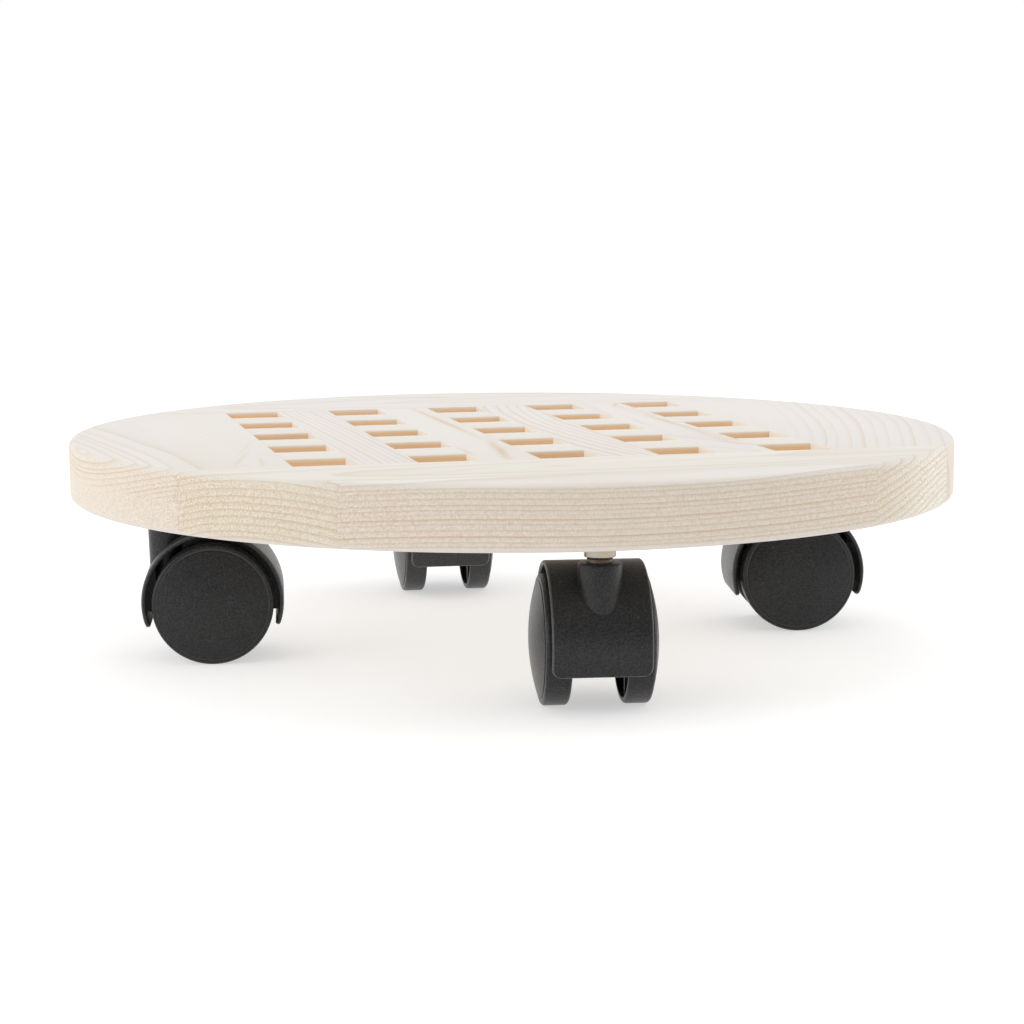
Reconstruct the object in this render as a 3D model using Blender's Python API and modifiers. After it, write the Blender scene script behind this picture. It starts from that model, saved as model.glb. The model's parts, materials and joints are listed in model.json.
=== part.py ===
"""Round wooden plant pot caddy: a lattice deck on four twin-wheel swivel casters.

Metres, +Z up. The origin is on the floor under the centre of the round deck. +Y points away from
the front rail, and the long slats of the lattice run along Y.
"""

import math

import bmesh
import bpy
from mathutils import Matrix, Vector

# Deck
DECK_RADIUS = 0.150
DECK_THICKNESS = 0.0195
EDGE_ROUND = 0.0022
DECK_SIDES = 96
HOLES_PER_SIDE = 5
HOLE_PITCH = 0.0382
HOLE_SIDE = HOLE_PITCH / 2
LATTICE_SHIFT_X = -0.0025
INNER_RAIL_WIDTH = 0.0397
GLUE_LINE = 0.0002

# Where the four casters stand: the side of the deck, how far the stem's hole was drilled to the left
# of that side's middle as seen from outside, and how far the caster is swivelled at rest from
# trailing straight at the centre.
STEM_CIRCLE_RADIUS = 0.1184
CASTERS = {
    "front": (math.radians(-90), 0.0025, math.radians(-8.2)),
    "right": (math.radians(0), 0.0008, math.radians(-11.2)),
    "back": (math.radians(90), -0.0014, math.radians(-4.4)),
    "left": (math.radians(180), 0.0, math.radians(-8.0)),
}

# Caster
WHEEL_RADIUS = 0.020
TRAIL = 0.0147
STEM_HEIGHT = 0.0537
HOOD_RADIUS = 0.0234
HOOD_RISE = 0.0006
HOOD_WALL = 0.0016
HOOD_HALF_WIDTH = 0.0151
HOOD_TIP_DROP = 0.0079
HOOD_CORNER = 0.0028
WEB_HALF_WIDTH = 0.0045
WEB_DROP = 0.0038
AXLE_BOSS_RADIUS = 0.0072
STEM_BOSS_TOP_RADIUS = 0.0067
STEM_BOSS_DRAFT = 0.0006
STEM_BOSS_GAP = 0.0078
WHEEL_SPACE_RADIUS = 0.0212
WHEEL_SPACE_FROM = 0.0076
WHEEL_INNER_PLANE = 0.0084
WHEEL_FACE_EDGE = 0.0163
WHEEL_FACE_CROWN = 0.0195
WHEEL_FACE_RADIUS = 0.01935
WHEEL_SIDES = 26
WHEEL_OUTER_EASING = 0.0010
WHEEL_INNER_EASING = 0.0008
WHEEL_RIM_INSIDE = 0.0182
WHEEL_RIM_DRAFT = 0.0004
WHEEL_FACE_WALL = 0.0011
HUB_RADIUS = 0.0050
HUB_DRAFT = 0.0002
HUB_GAP = 0.0004
RIB_COUNT = 6
RIB_THICKNESS = 0.0012
RIB_SETBACK = 0.0012

# Caster stem and its fittings
THREAD_RADIUS = 0.0040
COLLAR_RADIUS = 0.00475
COLLAR_HEIGHT = 0.0062
PIN_RADIUS = 0.0039
PIN_LENGTH = 0.0280
GROOVE_RADIUS = 0.0031
GROOVE_FROM_TIP = 0.0050
GROOVE_HALF_HEIGHT = 0.0008
CLIP_WIRE_RADIUS = 0.00045
CLIP_RECESS_HALF_HEIGHT = 0.0010
SOCKET_END_GAP = 0.0003
SOCKET_FLOOR_WALL = 0.0022
INSERT_RADIUS = 0.0060
INSERT_LENGTH = 0.0130
INSERT_BARB_DEPTH = 0.0008
INSERT_BARBS = 3
POCKET_END_GAP = 0.0015
STUD_END_GAP = 0.0005
AXLE_RADIUS = 0.0025
AXLE_HALF_LENGTH = 0.0140
AXLE_GROOVE_DEPTH = 0.0004
AXLE_GROOVE_HALF_WIDTH = 0.0007
AXLE_GROOVE_FROM_END = 0.0025
AXLE_END_GAP = 0.0004
TURNED_CHAMFER = 0.0006
RUNNING_GAP = 0.00012
FIXED_GAP = 0.00010
TURNED_SIDES = 16
CUTTER_OVERRUN = 0.010

DECK_BOTTOM = STEM_HEIGHT
DECK_TOP = DECK_BOTTOM + DECK_THICKNESS
AXLE_HEIGHT = WHEEL_RADIUS
WINDOW = (HOLES_PER_SIDE - 1) * HOLE_PITCH + HOLE_SIDE
BOSS_TOP = DECK_BOTTOM - STEM_BOSS_GAP - AXLE_HEIGHT
PIN_TIP = DECK_BOTTOM - PIN_LENGTH
CLIP_HEIGHT = PIN_TIP + GROOVE_FROM_TIP

PINE = ("pine", (0.86, 0.76, 0.62), 0.6, 0.0)
BLACK_NYLON = ("black_nylon", (0.035, 0.034, 0.033), 0.5, 0.0)
ZINC_STEEL = ("zinc_steel", (0.70, 0.68, 0.62), 0.3, 1.0)
MATERIALS = {}


def clear_scene():
    for obj in list(bpy.data.objects):
        bpy.data.objects.remove(obj)


def collection(name):
    found = bpy.data.collections.new(name)
    bpy.context.scene.collection.children.link(found)
    return found


def material(name, colour, roughness, metallic):
    if name not in MATERIALS:
        made = bpy.data.materials.new(name)
        made.use_nodes = True
        shader = made.node_tree.nodes["Principled BSDF"]
        shader.inputs["Base Color"].default_value = (*colour, 1.0)
        shader.inputs["Roughness"].default_value = roughness
        shader.inputs["Metallic"].default_value = metallic
        MATERIALS[name] = made
    return MATERIALS[name]


def add_object(name, data, group, finish=None, matrix=None, parent=None):
    obj = bpy.data.objects.new(name, data)
    group.objects.link(obj)
    if finish:
        data.materials.clear()
        data.materials.append(material(*finish))
    obj.parent = parent
    obj.matrix_local = matrix or Matrix.Identity(4)
    return obj


def add_helper(name, data, matrix=None):
    """A cutter or a master shape, which is no piece of the caddy."""
    obj = add_object(name, data, HELPERS, matrix=matrix)
    obj.hide_render = True
    obj.display_type = "WIRE"
    return obj


def mesh_of(obj, name):
    """The object's evaluated shape as a new mesh in the world's frame. The object is removed."""
    bpy.context.view_layer.update()
    graph = bpy.context.evaluated_depsgraph_get()
    mesh = bpy.data.meshes.new_from_object(obj.evaluated_get(graph))
    mesh.name = name
    mesh.transform(obj.matrix_world)
    weld(mesh)
    bpy.data.objects.remove(obj)
    return mesh


def weld(mesh, distance=1e-6):
    bm = bmesh.new()
    bm.from_mesh(mesh)
    bmesh.ops.remove_doubles(bm, verts=bm.verts, dist=distance)
    bmesh.ops.recalc_face_normals(bm, faces=bm.faces)
    bm.to_mesh(mesh)
    bm.free()


def shade(mesh, angle=math.radians(35)):
    mesh.shade_smooth()
    mesh.set_sharp_from_angle(angle=angle)


def box_mesh(name, low, high):
    bm = bmesh.new()
    bmesh.ops.create_cube(bm, size=1.0)
    centre = (Vector(low) + Vector(high)) / 2
    size = Vector(high) - Vector(low)
    bmesh.ops.transform(bm, matrix=Matrix.LocRotScale(centre, None, size), verts=bm.verts)
    mesh = bpy.data.meshes.new(name)
    bm.to_mesh(mesh)
    bm.free()
    return mesh


def cylinder_mesh(name, bottom_radius, top_radius, bottom, top, sides, axis="Z"):
    bm = bmesh.new()
    bmesh.ops.create_cone(
        bm,
        cap_ends=True,
        segments=sides,
        radius1=bottom_radius,
        radius2=top_radius,
        depth=top - bottom,
    )
    bmesh.ops.translate(bm, vec=(0, 0, (bottom + top) / 2), verts=bm.verts)
    if axis == "Y":
        bmesh.ops.rotate(bm, matrix=Matrix.Rotation(math.radians(-90), 3, "X"), verts=bm.verts)
    mesh = bpy.data.meshes.new(name)
    bm.to_mesh(mesh)
    bm.free()
    return mesh


def turned_mesh(name, profile, sides):
    """A solid turned about Z from (radius, height) points that run down its outer side."""
    line = bpy.data.meshes.new(name + "_profile")
    points = [(radius, 0.0, height) for radius, height in profile]
    line.from_pydata(points, [(i, i + 1) for i in range(len(points) - 1)], [])
    master = add_helper(name + "_master", line)
    screw = master.modifiers.new("turn", "SCREW")
    screw.steps = sides
    screw.render_steps = sides
    screw.use_merge_vertices = True
    screw.merge_threshold = 1e-6
    return mesh_of(master, name)


def extruded_mesh(name, outline, half_thickness, matrix=None):
    """A flat closed outline given thickness, each way from its plane."""
    curve = bpy.data.curves.new(name + "_outline", "CURVE")
    curve.dimensions = "2D"
    curve.fill_mode = "BOTH"
    curve.extrude = half_thickness
    spline = curve.splines.new("POLY")
    spline.points.add(len(outline) - 1)
    for point, (x, y) in zip(spline.points, outline):
        point.co = (x, y, 0.0, 1.0)
    spline.use_cyclic_u = True
    return mesh_of(add_helper(name + "_master", curve, matrix), name)


def arc(radius, start, end, steps, centre=(0.0, 0.0)):
    """Points along an arc in a plane, both ends included."""
    turns = [start + (end - start) * i / steps for i in range(steps + 1)]
    return [(centre[0] + radius * math.cos(a), centre[1] + radius * math.sin(a)) for a in turns]


def boolean(obj, helper, operation):
    modifier = obj.modifiers.new(operation.lower() + "_" + helper.name, "BOOLEAN")
    modifier.operation = operation
    modifier.object = helper
    modifier.solver = "EXACT"


def build_disc():
    """The round outline of the whole deck with its eased edges, which every outer board is cut to."""
    top = arc(EDGE_ROUND, math.radians(90), 0, 3, (DECK_RADIUS - EDGE_ROUND, DECK_TOP - EDGE_ROUND))
    foot = arc(EDGE_ROUND, 0, math.radians(-90), 3, (DECK_RADIUS - EDGE_ROUND, DECK_BOTTOM + EDGE_ROUND))
    profile = [(0.0, DECK_TOP)] + top + foot + [(0.0, DECK_BOTTOM)]
    return add_helper("disc", turned_mesh("disc", profile, DECK_SIDES))


def stem_point(angle, leftward):
    outwards = Vector((math.cos(angle), math.sin(angle), 0.0))
    leftwards = Vector((math.sin(angle), -math.cos(angle), 0.0))
    return outwards * STEM_CIRCLE_RADIUS + leftwards * leftward


def build_outer_boards(parent):
    """The two rails in front, the two behind, and the board on each side of the lattice."""
    disc = build_disc()
    half = WINDOW / 2
    gap = GLUE_LINE / 2
    reach = DECK_RADIUS + CUTTER_OVERRUN
    seam = half + INNER_RAIL_WIDTH
    left = LATTICE_SHIFT_X - half
    right = LATTICE_SHIFT_X + half
    plan = {
        "front_rail_outer": (-reach, reach, -reach, -seam - gap),
        "front_rail_inner": (-reach, reach, -seam + gap, -half - gap),
        "back_rail_inner": (-reach, reach, half + gap, seam - gap),
        "back_rail_outer": (-reach, reach, seam + gap, reach),
        "left_side_board": (-reach, left - gap, -half + gap, half - gap),
        "right_side_board": (right + gap, reach, -half + gap, half - gap),
    }
    drilled = {
        "front_rail_inner": "front",
        "back_rail_inner": "back",
        "left_side_board": "left",
        "right_side_board": "right",
    }
    for name, (x0, x1, y0, y1) in plan.items():
        low = (x0, y0, DECK_BOTTOM - CUTTER_OVERRUN)
        high = (x1, y1, DECK_TOP + CUTTER_OVERRUN)
        mesh = box_mesh(name, low, high)
        board = add_object(name, mesh, CADDY, PINE, parent=parent)
        boolean(board, disc, "INTERSECT")
        if name in drilled:
            angle, leftward, _ = CASTERS[drilled[name]]
            where = stem_point(angle, leftward)
            pocket = cylinder_mesh(
                "insert_pocket",
                INSERT_RADIUS + FIXED_GAP,
                INSERT_RADIUS + FIXED_GAP,
                DECK_BOTTOM - CUTTER_OVERRUN,
                DECK_BOTTOM + INSERT_LENGTH + POCKET_END_GAP,
                TURNED_SIDES,
            )
            drill = add_helper("pocket_" + drilled[name], pocket, Matrix.Translation(where))
            boolean(board, drill, "DIFFERENCE")


def notched_outline(length, notch_from, notch_to):
    """The side view of a slat with a half-lap notch wherever it crosses a slat of the other set."""
    half = length / 2
    outer = DECK_THICKNESS / 2 if notch_to < notch_from else -DECK_THICKNESS / 2
    edge = -outer
    points = [(-half, outer), (-half, edge)]
    for i in range(HOLES_PER_SIDE - 1):
        centre = (i - (HOLES_PER_SIDE - 2) / 2) * HOLE_PITCH
        wide = HOLE_SIDE / 2 + GLUE_LINE / 2
        points += [
            (centre - wide, edge),
            (centre - wide, notch_to),
            (centre + wide, notch_to),
            (centre + wide, edge),
        ]
    return points + [(half, edge), (half, outer)]


def build_lattice(parent):
    """Long slats along Y, notched from below, lap over cross slats along X, notched from above."""
    length = WINDOW - GLUE_LINE
    edge = DECK_THICKNESS / 2
    depth = GLUE_LINE / 2
    half_width = (HOLE_SIDE - GLUE_LINE) / 2
    middle = (DECK_BOTTOM + DECK_TOP) / 2
    along_y = Matrix.Rotation(math.radians(90), 4, "Z") @ Matrix.Rotation(math.radians(90), 4, "X")
    along_x = Matrix.Rotation(math.radians(90), 4, "X")
    long_slat = extruded_mesh("long_slat", notched_outline(length, edge, depth), half_width, along_y)
    cross_slat = extruded_mesh("cross_slat", notched_outline(length, -edge, -depth), half_width, along_x)
    for i in range(HOLES_PER_SIDE - 1):
        offset = (i - (HOLES_PER_SIDE - 2) / 2) * HOLE_PITCH
        at_long = Matrix.Translation((LATTICE_SHIFT_X + offset, 0.0, middle))
        at_cross = Matrix.Translation((LATTICE_SHIFT_X, offset, middle))
        add_object(f"long_slat_{i + 1}", long_slat, CADDY, PINE, at_long, parent)
        add_object(f"cross_slat_{i + 1}", cross_slat, CADDY, PINE, at_cross, parent)


def insert_mesh():
    """Press-in threaded insert: a sleeve with barbs outside, each widening over most of its step."""
    foot = DECK_BOTTOM + GLUE_LINE
    top = DECK_BOTTOM + INSERT_LENGTH
    bore = THREAD_RADIUS + FIXED_GAP
    waist = INSERT_RADIUS - INSERT_BARB_DEPTH
    step = (top - foot) / INSERT_BARBS
    profile = [(bore, top)]
    for i in range(INSERT_BARBS):
        profile += [(waist, top - i * step), (INSERT_RADIUS, top - (i + 0.8) * step)]
    profile += [(INSERT_RADIUS, foot), (bore, foot), (bore, top)]
    return turned_mesh("threaded_insert", profile, TURNED_SIDES)


def stem_mesh():
    """Threaded stud, round collar and swivel pin, turned from one bar, with a groove for the clip."""
    stud_top = DECK_BOTTOM + INSERT_LENGTH - STUD_END_GAP
    collar_top = DECK_BOTTOM - FIXED_GAP
    collar_foot = DECK_BOTTOM - COLLAR_HEIGHT
    profile = [
        (0.0, stud_top),
        (THREAD_RADIUS - TURNED_CHAMFER, stud_top),
        (THREAD_RADIUS, stud_top - TURNED_CHAMFER),
        (THREAD_RADIUS, collar_top),
        (COLLAR_RADIUS, collar_top),
        (COLLAR_RADIUS, collar_foot),
        (PIN_RADIUS, collar_foot),
        (PIN_RADIUS, CLIP_HEIGHT + GROOVE_HALF_HEIGHT),
        (GROOVE_RADIUS, CLIP_HEIGHT + GROOVE_HALF_HEIGHT),
        (GROOVE_RADIUS, CLIP_HEIGHT - GROOVE_HALF_HEIGHT),
        (PIN_RADIUS, CLIP_HEIGHT - GROOVE_HALF_HEIGHT),
        (PIN_RADIUS, PIN_TIP + TURNED_CHAMFER),
        (PIN_RADIUS - TURNED_CHAMFER, PIN_TIP),
        (0.0, PIN_TIP),
    ]
    return turned_mesh("swivel_stem", profile, TURNED_SIDES)


def clip_mesh():
    """Open ring of round wire that sits in the pin's groove and snaps into the housing's recess."""
    curve = bpy.data.curves.new("stem_clip_wire", "CURVE")
    curve.dimensions = "3D"
    curve.bevel_depth = CLIP_WIRE_RADIUS
    curve.bevel_resolution = 1
    curve.use_fill_caps = True
    radius = GROOVE_RADIUS + 2 * FIXED_GAP + CLIP_WIRE_RADIUS
    points = arc(radius, math.radians(30), math.radians(330), 15)
    spline = curve.splines.new("POLY")
    spline.points.add(len(points) - 1)
    for point, (x, y) in zip(spline.points, points):
        point.co = (x, y, CLIP_HEIGHT, 1.0)
    return mesh_of(add_helper("stem_clip_master", curve), "stem_clip")


def axle_mesh():
    """Axle pin along Z, with a snap groove near each end for the wheel hubs."""
    groove_top = AXLE_HALF_LENGTH - AXLE_GROOVE_FROM_END + AXLE_GROOVE_HALF_WIDTH
    groove_foot = groove_top - 2 * AXLE_GROOVE_HALF_WIDTH
    outer_half = [
        (0.0, AXLE_HALF_LENGTH),
        (AXLE_RADIUS - TURNED_CHAMFER, AXLE_HALF_LENGTH),
        (AXLE_RADIUS, AXLE_HALF_LENGTH - TURNED_CHAMFER),
        (AXLE_RADIUS, groove_top),
        (AXLE_RADIUS - AXLE_GROOVE_DEPTH, groove_top),
        (AXLE_RADIUS - AXLE_GROOVE_DEPTH, groove_foot),
        (AXLE_RADIUS, groove_foot),
    ]
    profile = outer_half + [(radius, -height) for radius, height in reversed(outer_half)]
    return turned_mesh("axle", profile, TURNED_SIDES)


def wheel_mesh():
    """One wheel, turned about Z with its outer face at the top. Height 0 is the caster's middle."""
    # The flats of the faceted tread lie at the true radius, and one of them faces straight down.
    tread = WHEEL_RADIUS / math.cos(math.pi / WHEEL_SIDES)
    rise = WHEEL_FACE_CROWN - WHEEL_FACE_EDGE
    dome = (WHEEL_FACE_RADIUS**2 + rise**2) / (2 * rise)
    crown = [share * WHEEL_FACE_RADIUS for share in (0.0, 0.4, 0.75, 1.0)]
    face = [(r, WHEEL_FACE_CROWN - dome + math.sqrt(dome**2 - r**2)) for r in crown]
    face_inside = WHEEL_FACE_EDGE - WHEEL_FACE_WALL
    hub_end = WEB_HALF_WIDTH + HUB_GAP
    bore = AXLE_RADIUS + RUNNING_GAP
    profile = face + [
        (tread, WHEEL_FACE_EDGE - WHEEL_OUTER_EASING),
        (tread, WHEEL_INNER_PLANE + WHEEL_INNER_EASING),
        (tread - WHEEL_INNER_EASING, WHEEL_INNER_PLANE),
        (WHEEL_RIM_INSIDE, WHEEL_INNER_PLANE),
        (WHEEL_RIM_INSIDE - WHEEL_RIM_DRAFT, face_inside),
        (HUB_RADIUS, face_inside),
        (HUB_RADIUS - HUB_DRAFT, hub_end),
        (bore, hub_end),
        (bore, AXLE_HALF_LENGTH + AXLE_END_GAP),
        (0.0, AXLE_HALF_LENGTH + AXLE_END_GAP),
    ]
    body = add_helper("wheel_master", turned_mesh("wheel_body", profile, WHEEL_SIDES))
    boolean(body, add_helper("wheel_ribs", rib_mesh(face_inside)), "UNION")
    return mesh_of(body, "wheel")


def rib_mesh(face_inside):
    """Radial ribs between a wheel's hub and its rim, as separate plates that bite into both."""
    bite = WHEEL_RIM_DRAFT
    inner = HUB_RADIUS - 2 * bite
    low = WHEEL_INNER_PLANE + RIB_SETBACK
    high = face_inside + bite
    size = Vector((WHEEL_RIM_INSIDE - inner, RIB_THICKNESS, high - low))
    centre = Vector(((inner + WHEEL_RIM_INSIDE) / 2, 0.0, (low + high) / 2))
    bm = bmesh.new()
    for i in range(RIB_COUNT):
        turn = Matrix.Rotation((i + 0.5) * 2 * math.pi / RIB_COUNT, 4, "Z")
        bmesh.ops.create_cube(bm, size=1.0, matrix=turn @ Matrix.LocRotScale(centre, None, size))
    mesh = bpy.data.meshes.new("ribs")
    bm.to_mesh(mesh)
    bm.free()
    return mesh


def hood_mesh():
    """The curved cover over the wheels: a strip bent round a line just above the axle, with its lower
    corners rounded.
    """
    dip = math.asin((HOOD_TIP_DROP + HOOD_RISE) / HOOD_RADIUS)
    corner = HOOD_CORNER / HOOD_RADIUS
    ends = [corner * (1 - math.cos(math.radians(a))) for a in (0, 30, 60, 90)]
    middle_steps = 20
    span = math.pi + 2 * dip
    middle = [corner + (span - 2 * corner) * i / middle_steps for i in range(1, middle_steps)]
    stations = ends + middle + [span - t for t in reversed(ends)]
    bm = bmesh.new()
    bmesh.ops.create_grid(bm, x_segments=len(stations) - 1, y_segments=1, size=1.0)
    columns = sorted(bm.verts, key=lambda v: (round(v.co.x, 6), v.co.y))
    for i, vertex in enumerate(columns):
        along = stations[i // 2]
        from_tip = min(along, span - along, corner) * HOOD_RADIUS
        narrowed = HOOD_CORNER - math.sqrt(HOOD_CORNER**2 - (HOOD_CORNER - from_tip) ** 2)
        side = math.copysign(HOOD_HALF_WIDTH - narrowed, vertex.co.y)
        angle = along - dip
        vertex.co = (HOOD_RADIUS * math.cos(angle), side, HOOD_RISE + HOOD_RADIUS * math.sin(angle))
    mesh = bpy.data.meshes.new("hood")
    bm.to_mesh(mesh)
    bm.free()
    master = add_helper("hood_master", mesh)
    # The strip's faces look at the axle, and the wall grows the way that they look.
    wall = master.modifiers.new("wall", "SOLIDIFY")
    wall.thickness = HOOD_WALL
    wall.offset = 1.0
    return mesh_of(master, "hood")


def web_outline():
    """The central web between the wheels, in the plane across the axle: hood above, axle boss below."""
    into_hood = HOOD_RADIUS - HOOD_WALL / 2
    start = -math.asin((WEB_DROP + HOOD_RISE) / into_hood)
    top = arc(into_hood, start, math.pi - start, 18, (0.0, HOOD_RISE))
    boss = arc(AXLE_BOSS_RADIUS, math.radians(215), math.radians(325), 6)
    return top + boss


def socket_profile():
    """The stem's socket as a turned cutter, with a recess for the clip."""
    radius = PIN_RADIUS + RUNNING_GAP
    recess = GROOVE_RADIUS + 6 * FIXED_GAP + 2 * CLIP_WIRE_RADIUS
    recess_top = CLIP_HEIGHT - AXLE_HEIGHT + CLIP_RECESS_HALF_HEIGHT
    recess_foot = recess_top - 2 * CLIP_RECESS_HALF_HEIGHT
    floor = PIN_TIP - AXLE_HEIGHT - SOCKET_END_GAP
    return [
        (0.0, BOSS_TOP + CUTTER_OVERRUN),
        (radius, BOSS_TOP + CUTTER_OVERRUN),
        (radius, recess_top),
        (recess, recess_top),
        (recess, recess_foot),
        (radius, recess_foot),
        (radius, floor),
        (0.0, floor),
    ]


def housing_mesh():
    """Hood, web, axle boss and stem socket moulded in one. X points from the axle to the stem."""
    housing = add_helper("housing_master", hood_mesh())
    upright = Matrix.Rotation(math.radians(90), 4, "X")
    web = extruded_mesh("web", web_outline(), WEB_HALF_WIDTH, upright)
    boss_floor = PIN_TIP - AXLE_HEIGHT - SOCKET_FLOOR_WALL
    boss = cylinder_mesh(
        "stem_boss",
        STEM_BOSS_TOP_RADIUS - STEM_BOSS_DRAFT,
        STEM_BOSS_TOP_RADIUS,
        boss_floor,
        BOSS_TOP,
        20,
    )
    at_stem = Matrix.Translation((TRAIL, 0.0, 0.0))
    boolean(housing, add_helper("web_piece", web), "UNION")
    boolean(housing, add_helper("boss_piece", boss, at_stem), "UNION")
    for side in (-1, 1):
        ends = sorted((side * WHEEL_SPACE_FROM, side * (HOOD_HALF_WIDTH + CUTTER_OVERRUN)))
        space = cylinder_mesh("wheel_space", WHEEL_SPACE_RADIUS, WHEEL_SPACE_RADIUS, *ends, 32, "Y")
        boolean(housing, add_helper(f"wheel_space_{side}", space), "DIFFERENCE")
    socket = turned_mesh("socket", socket_profile(), TURNED_SIDES)
    boolean(housing, add_helper("socket_cutter", socket, at_stem), "DIFFERENCE")
    hole_radius = AXLE_RADIUS + FIXED_GAP
    hole = cylinder_mesh(
        "axle_hole",
        hole_radius,
        hole_radius,
        -AXLE_HALF_LENGTH,
        AXLE_HALF_LENGTH,
        TURNED_SIDES,
        "Y",
    )
    boolean(housing, add_helper("axle_cutter", hole), "DIFFERENCE")
    return mesh_of(housing, "caster_housing")


def build_casters(deck):
    """Four casters. Each swivels about its stem, and its two wheels turn on one axle."""
    shapes = {
        "insert": insert_mesh(),
        "stem": stem_mesh(),
        "clip": clip_mesh(),
        "axle": axle_mesh(),
        "wheel": wheel_mesh(),
        "housing": housing_mesh(),
    }
    for mesh in shapes.values():
        shade(mesh)
    for place, (angle, leftward, swivelled) in CASTERS.items():
        at_stem = Matrix.Translation(stem_point(angle, leftward))
        add_object(f"{place}_threaded_insert", shapes["insert"], CADDY, ZINC_STEEL, at_stem, deck)
        add_object(f"{place}_swivel_stem", shapes["stem"], CADDY, ZINC_STEEL, at_stem, deck)
        add_object(f"{place}_stem_clip", shapes["clip"], CADDY, ZINC_STEEL, at_stem, deck)

        # At rest the axle trails from the stem towards the middle of the deck.
        facing = angle + swivelled
        swivel = add_object(
            f"{place}_swivel", None, CADDY, None, at_stem @ Matrix.Rotation(facing, 4, "Z"), deck
        )
        at_axle = Matrix.Translation((-TRAIL, 0.0, AXLE_HEIGHT))
        add_object(f"{place}_caster_housing", shapes["housing"], CADDY, BLACK_NYLON, at_axle, swivel)
        for side, name in ((1, "near"), (-1, "far")):
            outwards = at_axle @ Matrix.Rotation(side * math.radians(-90), 4, "X")
            add_object(f"{place}_wheel_{name}", shapes["wheel"], CADDY, BLACK_NYLON, outwards, swivel)
        across = at_axle @ Matrix.Rotation(math.radians(90), 4, "X")
        add_object(f"{place}_axle", shapes["axle"], CADDY, ZINC_STEEL, across, swivel)


clear_scene()
CADDY = collection("plant_pot_caddy")
HELPERS = collection("cutters")
deck_empty = add_object("deck", None, CADDY)
build_outer_boards(deck_empty)
build_lattice(deck_empty)
build_casters(deck_empty)
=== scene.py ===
"""Looks of the round plant pot caddy: pale pine boards, black twin-wheel casters, a white studio.

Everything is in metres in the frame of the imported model: +Z up, the floor at z = 0, the deck's centre
on the Z axis, and the front rail towards -Y.
"""

import json
import math

import bmesh
import bpy
from mathutils import Matrix, Vector


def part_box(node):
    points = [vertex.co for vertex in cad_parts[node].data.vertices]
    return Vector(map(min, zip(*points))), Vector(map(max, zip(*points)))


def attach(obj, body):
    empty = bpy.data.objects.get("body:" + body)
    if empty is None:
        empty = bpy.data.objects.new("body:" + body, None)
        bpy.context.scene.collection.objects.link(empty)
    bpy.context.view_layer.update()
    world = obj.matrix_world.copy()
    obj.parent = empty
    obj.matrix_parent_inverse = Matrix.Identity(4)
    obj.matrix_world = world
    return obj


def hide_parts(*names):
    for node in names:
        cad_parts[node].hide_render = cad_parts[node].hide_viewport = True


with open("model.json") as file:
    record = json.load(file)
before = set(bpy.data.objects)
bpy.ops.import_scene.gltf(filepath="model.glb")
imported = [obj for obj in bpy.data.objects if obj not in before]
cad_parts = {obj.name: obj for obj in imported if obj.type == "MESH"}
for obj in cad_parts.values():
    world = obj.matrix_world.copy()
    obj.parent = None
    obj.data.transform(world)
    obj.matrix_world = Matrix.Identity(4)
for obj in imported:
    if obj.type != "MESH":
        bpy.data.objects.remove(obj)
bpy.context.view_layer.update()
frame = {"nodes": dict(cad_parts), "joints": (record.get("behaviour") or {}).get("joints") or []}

MM = 0.001
PLACES = ("front", "right", "back", "left")
SLIVER = 0.003 * MM
WELD = 0.0001 * MM

# The deck, read from the frame
DECK_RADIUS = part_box("right_side_board")[1][0]
DECK_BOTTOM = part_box("front_rail_inner")[0][2]
DECK_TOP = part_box("front_rail_inner")[1][2]
DECK_THICKNESS = DECK_TOP - DECK_BOTTOM
DECK_STEPS = 360
EDGE_ROUND = 2.2 * MM
EDGE_ROUND_STEPS = 6
BOARD_EASING = 0.12 * MM
BOARD_WELD = 0.001 * MM
BOARD_CREASE = 25
BOARD_CORNER = 50
HOLE_EDGE_EASING = 0.55 * MM
CROSSINGS = 4
INSERT_POCKET_RADIUS = 6.1 * MM
INSERT_POCKET_DEPTH = 14.5 * MM
DRILL_OVERRUN = 1.0 * MM

# Housing, in the caster's own frame: X from the axle to the stem, Y along the axle
HOOD_RADIUS = 23.4 * MM
HOOD_RISE = 0.6 * MM
HOOD_WALL = 1.6 * MM
HOOD_HALF_WIDTH = 15.1 * MM
HOOD_TIP_DROP = 7.9 * MM
HOOD_CORNER = 3.1 * MM
HOOD_CORNER_TURNS = range(6, 90, 7)
HOOD_STEPS = 64
HOOD_EDGE_STEPS = 5
# The painted highlight along the hood's rounded outer edge is the faces whose normals point outwards
# by more than the one and less than the other.
EDGE_HIGHLIGHT_FROM = 0.45
EDGE_HIGHLIGHT_TO = 0.93
WEB_HALF_WIDTH = 4.5 * MM
WEB_DROP = 3.8 * MM
WEB_STEPS = 48
AXLE_BOSS_RADIUS = 7.2 * MM
AXLE_BOSS_FROM = 215
AXLE_BOSS_TO = 325
AXLE_BOSS_STEPS = 14
AXLE_RADIUS = 2.5 * MM
AXLE_HOLE_RADIUS = AXLE_RADIUS + 0.1 * MM
AXLE_HOLE_STEPS = 32
STEM_BOSS_RADIUS = 6.7 * MM
STEM_BOSS_FOOT_RADIUS = 6.1 * MM
STEM_BOSS_FOOT = 3.5 * MM
STEM_BOSS_GAP = 7.8 * MM
STEM_BOSS_EASING = 1.3 * MM
STEM_BOSS_STEPS = 72
SOCKET_FLOOR = STEM_BOSS_FOOT + 2 * MM
SOCKET_STEPS = 56
WHEEL_SPACE_RADIUS = 21.2 * MM
WHEEL_SPACE_FROM = 7.6 * MM
WHEEL_SPACE_TO = 30 * MM
CUTTER_REACH = 20 * MM
CUTTER_OVERRUN = 2 * MM
CASTER_CREASE = 20

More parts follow.
